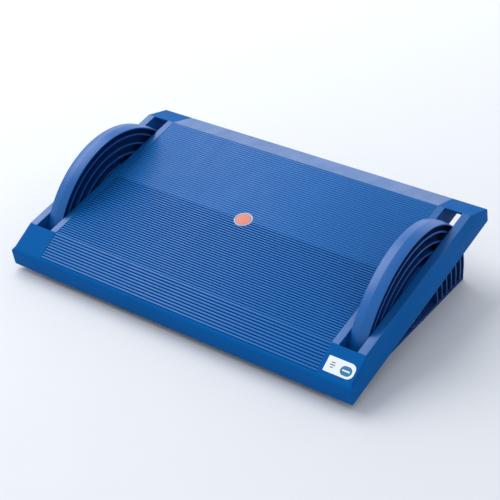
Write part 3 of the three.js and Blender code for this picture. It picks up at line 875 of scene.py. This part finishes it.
def make_underframe(sizes):
    """Walls beside the slots, stiffening ribs and screw bosses under the top."""
    bm = bmesh.new()
    half = sizes.top_length / 2
    inside = sizes.wall * INTO_TOP
    thin = sizes.stiffener_wall / 2

    def long_wall(x, width, depth):
        """A wall along the slope that rises into the top and follows it as far as it has room."""
        low = sizes.rise - depth
        room = depth - sizes.wall
        front_reach = min(sizes.front_strip - inside, room * sizes.front_strip / sizes.front_drop)
        back_reach = min(sizes.back_strip - inside, room * sizes.back_strip / sizes.back_drop)
        stations = [-half - front_reach, -half, half, half + back_reach]
        loops = []
        for s in stations:
            high = top_height(sizes, s) - inside
            loops.append([bm.verts.new(p) for p in (
                (x, s, low), (x + width, s, low), (x + width, s, high), (x, s, high))])
        for a, b in zip(loops, loops[1:]):
            for k in range(4):
                bm.faces.new((a[k], a[(k + 1) % 4], b[(k + 1) % 4], b[k]))
        bm.faces.new(loops[0])
        bm.faces.new(loops[-1])

    outer = sizes.slot_inner + sizes.slot_width
    for x in (sizes.slot_inner - sizes.wall, outer, -sizes.slot_inner, -outer - sizes.wall):
        long_wall(x, sizes.wall, sizes.slot_wall_depth)
    reach = sizes.slot_inner - sizes.wall / 2
    for k in range(sizes.stiffener_count):
        x = (k - (sizes.stiffener_count - 1) / 2) * sizes.stiffener_pitch
        long_wall(x - thin, sizes.stiffener_wall, sizes.stiffener_depth)
    for s in (-sizes.cross_outer, -sizes.cross_inner, sizes.cross_inner, sizes.cross_outer):
        add_box(bm, (-reach, s - thin, sizes.rise - sizes.stiffener_depth),
                (reach, s + thin, sizes.rise - inside))
    for x in (-sizes.boss_across, sizes.boss_across):
        for s in (-sizes.boss_along, sizes.boss_along):
            add_boss(bm, sizes, x, s)
    return bm


def add_boss(bm, sizes, x, s):
    """Round boss for a bumper foot's screw, from near the skirt's edge up to the slanted top."""
    hole, outside = sizes.screw_hole / 2, sizes.boss / 2
    low = sizes.rise - sizes.skirt_depth + sizes.boss_lift
    high = top_height(sizes, s + math.copysign(outside, s)) - sizes.wall
    floor = low + sizes.screw_hole_depth
    outline = [(0.0, floor), (hole, floor), (hole, low), (outside, low), (outside, high), (0.0, high)]
    add_turned(bm, outline, BOSS_STEPS, Matrix.Translation((x, s, 0)), cap=True)


class FOOTREST_OT_underframe(bpy.types.Operator):
    """Slot walls, stiffening ribs and screw bosses under the platform"""

    bl_idname = "footrest.underframe"
    bl_label = "Underframe"

    def execute(self, context):
        sizes = context.scene.footrest_platform
        bm = make_underframe(sizes)
        bm.transform(tilted(sizes.slope))
        finish = platform_plastic(context)
        walls = new_piece("platform_underframe", bm, "platform", finish)
        round_edges(walls, WALL_ROUND, segments=2)
        apply_modifiers(walls)
        return {"FINISHED"}


# ---------------------------------------------------------------- stands


TREAD, SHADED_SUNK, SHADED_RIB_EDGE = range(3)    # the stands' finishes, in the order of their materials; the last two are painted shade
STAND_ROUND = 0.55 * MM
INTO_BASE = 0.2                # the disc starts at this share of the base flange's thickness
HUB_STEPS = 48
HUB_ROUND = 0.6 * MM
ROD_PLAY = 0.3 * MM            # between the tie rod and its bore


def stand_outline(sizes, radius, half_width):
    """The stand's section as (radius, across) points, from the middle of one side to the other."""
    web = sizes.web / 2
    side = [(0.0, web)]
    for k in range(sizes.rib_count - 1, -1, -1):
        middle = sizes.first_rib - k * sizes.rib_pitch
        low, high = middle - sizes.rib / 2, middle + sizes.rib / 2
        side += [(low, web), (low, half_width), (high, half_width), (high, web)]
    side += [(radius - sizes.rim, web), (radius - sizes.rim, half_width)]
    side += [(radius - sizes.crown, half_width)]
    other = [(r, -a) for r, a in side]
    return rounded_profile(side + [(radius, 0.0)] + other[::-1], STAND_ROUND)


def make_stand(sizes, radius, half_width, middle):
    """Half a disc with guide ribs on both sides, its flat side inside the base flange.

    The sunk faces and the edges of the guide ribs have finishes of their own, in darker blues that are painted
    shade.
    """
    rim_starts = radius - sizes.rim + 0.2 * MM
    edge_starts = half_width - 1 * MM

    def finish(a, b):
        """The tread's and rim's finish, else the painted shade of the sunk faces, else that of the guide ribs'
        edges.
        """
        if max(a[0], b[0]) > rim_starts:
            return TREAD
        return SHADED_SUNK if min(abs(a[1]), abs(b[1])) < edge_starts else SHADED_RIB_EDGE

    outline = stand_outline(sizes, radius, half_width)
    finishes = [finish(a, b) for a, b in zip(outline, outline[1:])]
    bm = bmesh.new()
    arcs = []
    inside_base = sizes.base * INTO_BASE
    for step in range(sizes.steps + 1):
        angle = math.pi * step / sizes.steps
        arcs.append([
            bm.verts.new((middle + across, HINGE.y + r * math.cos(angle),
                          max(r * math.sin(angle), inside_base)))
            for r, across in outline
        ])
    for a, b in zip(arcs, arcs[1:]):
        for k, index in enumerate(finishes):
            face = bm.faces.new((a[k], a[k + 1], b[k + 1], b[k]))
            face.material_index = index
    for end in (arcs[0], arcs[-1]):
        bm.faces.new(end).material_index = SHADED_SUNK
    bmesh.ops.remove_doubles(bm, verts=bm.verts, dist=SAME_POINT)
    return bm


def add_hub(bm, sizes, half_width, middle, outwards):
    """Round hub for the tie rod, with a pocket for the nut on its outer side."""
    rod = (ROD_BOX[0] + ROD_BOX[1]) / 2
    rod_radius = (ROD_BOX[1].z - ROD_BOX[0].z) / 2
    turn = Matrix.Rotation(outwards * math.pi / 2, 4, "Y")
    place = Matrix.Translation((middle, rod.y, rod.z)) @ turn
    hub, pocket, bore = sizes.hub / 2, sizes.pocket / 2, rod_radius + ROD_PLAY
    floor = half_width - sizes.pocket_depth
    outline = rounded_profile([
        (bore, -half_width), (hub, -half_width), (hub, half_width),
        (pocket, half_width), (pocket, floor), (bore, floor), (bore, -half_width),
    ], HUB_ROUND)
    add_turned(bm, outline, HUB_STEPS, place)


def add_base(bm, sizes, radius, half_width, middle):
    """Flat flange along the bottom of a stand, its ends crowned like the tread."""
    edge = radius - sizes.crown
    outline = [(-half_width, -edge), (0, -radius), (half_width, -edge),
               (half_width, edge), (0, radius), (-half_width, edge)]
    add_plate(bm, outline, 0.0, sizes.base, (middle, HINGE.y))


class FOOTREST_OT_stands(bpy.types.Operator):
    """The two half-disc stands with their guide ribs and hubs"""

    bl_idname = "footrest.stands"
    bl_label = "Stands"

    def execute(self, context):
        sizes = context.scene.footrest_stand
        for side, outwards in (("left", -1), ("right", 1)):
            low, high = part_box(f"{side}_stand")
            half_width = (high.x - low.x) / 2
            middle = (high.x + low.x) / 2
            bm = make_stand(sizes, high.z, half_width, middle)
            disc_faces = set(bm.faces)
            add_hub(bm, sizes, half_width, middle, outwards)
            add_base(bm, sizes, high.z, half_width, middle)
            # The hub and the base flange take the sunk faces' painted shade.
            for face in set(bm.faces) - disc_faces:
                face.material_index = SHADED_SUNK
            stand = new_piece(f"{side}_stand_moulding", bm, "base",
                              stand_plastic(context), smooth=12)
            stand.data.materials.append(recess_plastic(context))
            stand.data.materials.append(rib_edge_plastic(context))
            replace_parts(stand, f"{side}_stand")
        return {"FINISHED"}


# ---------------------------------------------------------------- badge, label, fixings


BADGE_STEPS = 64
BADGE_DEPTH = 1.5 * MM
BADGE_RIM = 2.3 * MM           # width of the rim
BADGE_RIM_CREST = 0.35 * MM
BADGE_RIM_ROUND = 0.5 * MM
BADGE_GAP = 0.1 * MM           # between the rim and the plug
PLUG_DOME = 0.55 * MM
PLUG_DOME_STEPS = 10


def make_badge_ring(radius):
    """Round rim with a crowned top, its edges at z = 0."""
    bm = bmesh.new()
    inner = radius - BADGE_RIM
    outline = rounded_profile([
        (inner, -BADGE_DEPTH), (radius, -BADGE_DEPTH), (radius, 0.0),
        (radius - BADGE_RIM / 2, BADGE_RIM_CREST), (inner, 0.0), (inner, -BADGE_DEPTH),
    ], BADGE_RIM_ROUND)
    add_turned(bm, outline, BADGE_STEPS)
    return bm


def make_badge_plug(radius):
    """Slightly domed round plug, its edge at z = 0."""
    bm = bmesh.new()
    outline = [(0.0, -BADGE_DEPTH), (radius, -BADGE_DEPTH)]
    for step in range(PLUG_DOME_STEPS):
        angle = math.pi / 2 * step / PLUG_DOME_STEPS
        outline.append((radius * math.cos(angle), PLUG_DOME * math.sin(angle)))
    outline.append((0.0, PLUG_DOME))
    add_turned(bm, outline, BADGE_STEPS, cap=True)
    return bm


class FOOTREST_OT_badge(bpy.types.Operator):
    """Round badge in the middle of the platform: a pale rim and a coral plug"""

    bl_idname = "footrest.badge"
    bl_label = "Badge"

    def execute(self, context):
        sizes = context.scene.footrest_platform
        colours = context.scene.footrest_finish
        radius = (RING_BOX[1].x - RING_BOX[0].x) / 2
        place = tilted(sizes.slope) @ Matrix.Translation((0, 0, sizes.rise))
        finish = material("badge_rim_plastic", moulded_plastic, colours.badge_rim, roughness=0.4)
        bm = make_badge_ring(radius)
        bm.transform(place)
        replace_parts(new_piece("badge_rim", bm, "platform", finish), "badge_ring")
        finish = material("badge_plastic", moulded_plastic, colours.badge, roughness=0.45)
        bm = make_badge_plug(radius - BADGE_RIM - BADGE_GAP)
        bm.transform(place)
        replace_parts(new_piece("badge_face", bm, "platform", finish), "badge_plug")
        return {"FINISHED"}


LABEL_SHARP = 0.8 * MM         # corner radius at the sticker's left end
LABEL_ROUND = 6.5 * MM         # and at its right end
LABEL_DEPTH = 0.42 * MM        # the sticker's middle is seated this far below its box's middle
PAPER = 0.2 * MM
PRINT_LOW = 0.18 * MM          # print starts just inside the paper
PRINT_HIGH = 0.23 * MM
OVERPRINT = 0.04 * MM          # a second layer stands this much higher
BAR_WIDTH = 1.1 * MM
BAR_PITCH = 2.6 * MM
BAR_LENGTHS = (0.13, 0.18, 0.1)     # of the sticker's length


def rounded_outline(length, width, left, right, steps=8):
    """Rectangle with one corner radius at its left end and another at its right end."""
    x, y = length / 2, width / 2
    points = []
    for cx, cy, radius, start in (
        (x - right, y - right, right, 0), (-x + left, y - left, left, 90),
        (-x + left, -y + left, left, 180), (x - right, -y + right, right, 270),
    ):
        for step in range(steps + 1):
            angle = math.radians(start + 90 * step / steps)
            points.append((cx + radius * math.cos(angle), cy + radius * math.sin(angle)))
    return points


def make_plate(outline, low, high, shift=(0, 0)):
    """Thin closed plate of an outline, between two heights."""
    bm = bmesh.new()
    add_plate(bm, outline, low, high, shift)
    return bm


class FOOTREST_OT_label(bpy.types.Operator):
    """White sticker with one round end and plain printed marks"""

    bl_idname = "footrest.label"
    bl_label = "Label"

    def execute(self, context):
        sizes = context.scene.footrest_platform
        colours = context.scene.footrest_finish
        front_slope, _ = strip_slopes(sizes)
        length = LABEL_BOX[1].x - LABEL_BOX[0].x
        lean = sizes.slope + front_slope
        width = (LABEL_BOX[1].y - LABEL_BOX[0].y) / math.cos(lean)
        centre = (LABEL_BOX[0] + LABEL_BOX[1]) / 2
        up = Vector((0, -math.sin(lean), math.cos(lean)))
        place = Matrix.Translation(centre - up * LABEL_DEPTH) @ Matrix.Rotation(lean, 4, "X")
        paper = material("label_stock", coated_paper, colours.paper)
        blue = material("label_blue_print", coated_paper, colours.print_blue)
        grey = material("label_grey_print", coated_paper, colours.print_grey)
        sheet = make_plate(rounded_outline(length, width, LABEL_SHARP, LABEL_ROUND), 0, PAPER)
        sheet.transform(place)
        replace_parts(new_piece("label_sheet", sheet, "platform", paper), "label")
        for name, mark, ink in self.marks(length, width, blue, grey, paper):
            mark.transform(place)
            new_piece(name, mark, "platform", ink)
        return {"FINISHED"}

    def marks(self, length, width, blue, grey, white):
        """Plain printed shapes: a striped blue pill on the right, short grey bars on the left.

        Their sizes and places are shares of the sticker's own length and width.
        """
        pill_round, stripe_round, bar_round = width * 0.29, 0.3 * MM, 0.4 * MM
        pill = rounded_outline(length * 0.4, width * 0.6, pill_round, pill_round)
        place = (length * 0.22, -width * 0.06)
        yield "label_pill", make_plate(pill, PRINT_LOW, PRINT_HIGH, place), blue
        stripe = rounded_outline(length * 0.26, width * 0.09, stripe_round, stripe_round)
        yield "label_stripe", make_plate(stripe, PRINT_LOW, PRINT_HIGH + OVERPRINT, place), white
        for k, share in enumerate(BAR_LENGTHS):
            bar = rounded_outline(length * share, BAR_WIDTH, bar_round, bar_round)
            place = (-length * 0.27, (1 - k) * BAR_PITCH)
            yield f"label_bar_{k + 1}", make_plate(bar, PRINT_LOW, PRINT_HIGH, place), grey


FIXING_ROUND = 0.4 * MM


class FOOTREST_OT_fixings(bpy.types.Operator):
    """Finish of the pegs, screws, nuts, washers, tie rod, spacer tube and bumper feet"""

    bl_idname = "footrest.fixings"
    bl_label = "Fixings and bumper feet"

    def execute(self, context):
        colours = context.scene.footrest_finish
        steel = material("zinc_plated_steel", plated_steel, colours.steel)
        rubber = material("bumper_rubber", moulded_rubber, colours.rubber)
        for entry in frame["record"]["subparts"]:
            finish = {"plated_steel": steel, "bumper_rubber": rubber}.get(entry["material_slot"])
            if finish is None:
                continue
            node = frame["nodes"][entry["node"]]
            node.data.materials.clear()
            node.data.materials.append(finish)
            node.data.shade_smooth()
            node.data.set_sharp_from_angle(angle=math.radians(35))
            round_edges(node, FIXING_ROUND, segments=2, angle=40)
        return {"FINISHED"}


# ---------------------------------------------------------------- stage


SKY_COLOUR = (0.84, 0.91, 1.0)
LAMP_TARGET = (0, 0, 0.05)
KEY_PLACE, KEY_SIZE = (-2.0, 0.2, 2.6), (2.9, 2.3)
BACK_PLACE, BACK_SIZE = (-0.7, 1.8, 0.75), (3.0, 1.3)
CAMERA_PLACE = (0.64036, -0.92006, 0.73337)
CAMERA_AZIMUTH = math.radians(34.622)
CAMERA_ELEVATION = math.radians(32.135)
CAMERA_SHIFT = 0.002


def add_lamp(name, place, size, power):
    """A rectangular lamp that lights the foot rest from its place."""
    lamp = bpy.data.lights.new(name, "AREA")
    lamp.shape = "RECTANGLE"
    lamp.size, lamp.size_y = size
    lamp.energy = power
    holder = bpy.data.objects.new(name, lamp)
    bpy.context.scene.collection.objects.link(holder)
    holder.location = place
    look = Vector(LAMP_TARGET) - Vector(place)
    holder.rotation_euler = look.to_track_quat("-Z", "Y").to_euler()


class FOOTREST_OT_stage(bpy.types.Operator):
    """Plain pale floor, soft studio light and the camera"""

    bl_idname = "footrest.stage"
    bl_label = "Stage"

    def execute(self, context):
        settings = context.scene.footrest_stage
        self.make_floor(settings)
        self.make_light(context, settings)
        self.make_camera(context, settings)
        return {"FINISHED"}

    def make_floor(self, settings):
        """The floor, large enough to fill the view."""
        half = settings.floor_size / 2
        bm = bmesh.new()
        bm.faces.new([bm.verts.new((x, y, 0)) for x, y in (
            (-half, -half), (half, -half), (half, half), (-half, half))])
        mesh = bpy.data.meshes.new("floor")
        bm.to_mesh(mesh)
        bm.free()
        floor = bpy.data.objects.new("floor", mesh)
        bpy.context.scene.collection.objects.link(floor)
        shader = Shader("floor_paper")
        shader.surface.inputs["Base Color"].default_value = (*settings.floor, 1)
        shader.join(shader.spread(shader.noise(14), 0.55, 0.65), shader.surface.inputs["Roughness"])
        mesh.materials.append(shader.material)
        floor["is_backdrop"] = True

    def make_light(self, context, settings):
        """An even sky, a lamp high on the left and a low wide one behind."""
        world = bpy.data.worlds.new("studio")
        world.use_nodes = True
        sky = world.node_tree.nodes["Background"]
        sky.inputs["Color"].default_value = (*SKY_COLOUR, 1)
        sky.inputs["Strength"].default_value = settings.sky
        context.scene.world = world
        add_lamp("key_lamp", KEY_PLACE, KEY_SIZE, settings.key)
        add_lamp("back_lamp", BACK_PLACE, BACK_SIZE, settings.back)
        context.scene.view_settings.view_transform = "Standard"

    def make_camera(self, context, settings):
        """The camera, in front and to the right of the foot rest."""
        camera = bpy.data.cameras.new("camera")
        camera.lens = settings.lens
        camera.shift_y = CAMERA_SHIFT
        holder = bpy.data.objects.new("camera", camera)
        context.scene.collection.objects.link(holder)
        holder.location = CAMERA_PLACE
        holder.rotation_euler = (math.pi / 2 - CAMERA_ELEVATION, 0, CAMERA_AZIMUTH)
        context.scene.camera = holder


class FOOTREST_PT_panel(bpy.types.Panel):
    """Lists the pieces of the foot rest"""

    bl_idname = "FOOTREST_PT_panel"
    bl_label = "Foot Rest"
    bl_space_type = "VIEW_3D"
    bl_region_type = "UI"
    bl_category = "Foot Rest"

    def draw(self, context):
        for operator in OPERATORS:
            self.layout.operator(operator.bl_idname)


OPERATORS = (
    FOOTREST_OT_stage,
    FOOTREST_OT_platform_shell,
    FOOTREST_OT_grip_ribs,
    FOOTREST_OT_underframe,
    FOOTREST_OT_stands,
    FOOTREST_OT_badge,
    FOOTREST_OT_label,
    FOOTREST_OT_fixings,
)
CLASSES = (*GROUPS.values(), *OPERATORS, FOOTREST_PT_panel)


def register():
    """Registers the classes and hangs the groups of sizes on the scene."""
    for cls in CLASSES:
        bpy.utils.register_class(cls)
    for name, group in GROUPS.items():
        setattr(bpy.types.Scene, name, PointerProperty(type=group))


def unregister():
    """Takes away what register added."""
    for name in GROUPS:
        delattr(bpy.types.Scene, name)
    for cls in reversed(CLASSES):
        bpy.utils.unregister_class(cls)


def build():
    """Runs every operator in order."""
    for operator in OPERATORS:
        group, name = operator.bl_idname.split(".")
        getattr(getattr(bpy.ops, group), name)()


def write_sizes():
    """Works out the CAD box and the visual model's box."""
    boxes = {"cad": CAD_BOX, "visual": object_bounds()}
    {key: [list(corner) for corner in box] for key, box in boxes.items()}


def main():
    """Makes the foot rest and its stage."""
    register()
    build()
    write_sizes()


if __name__ == "__main__":
    main()
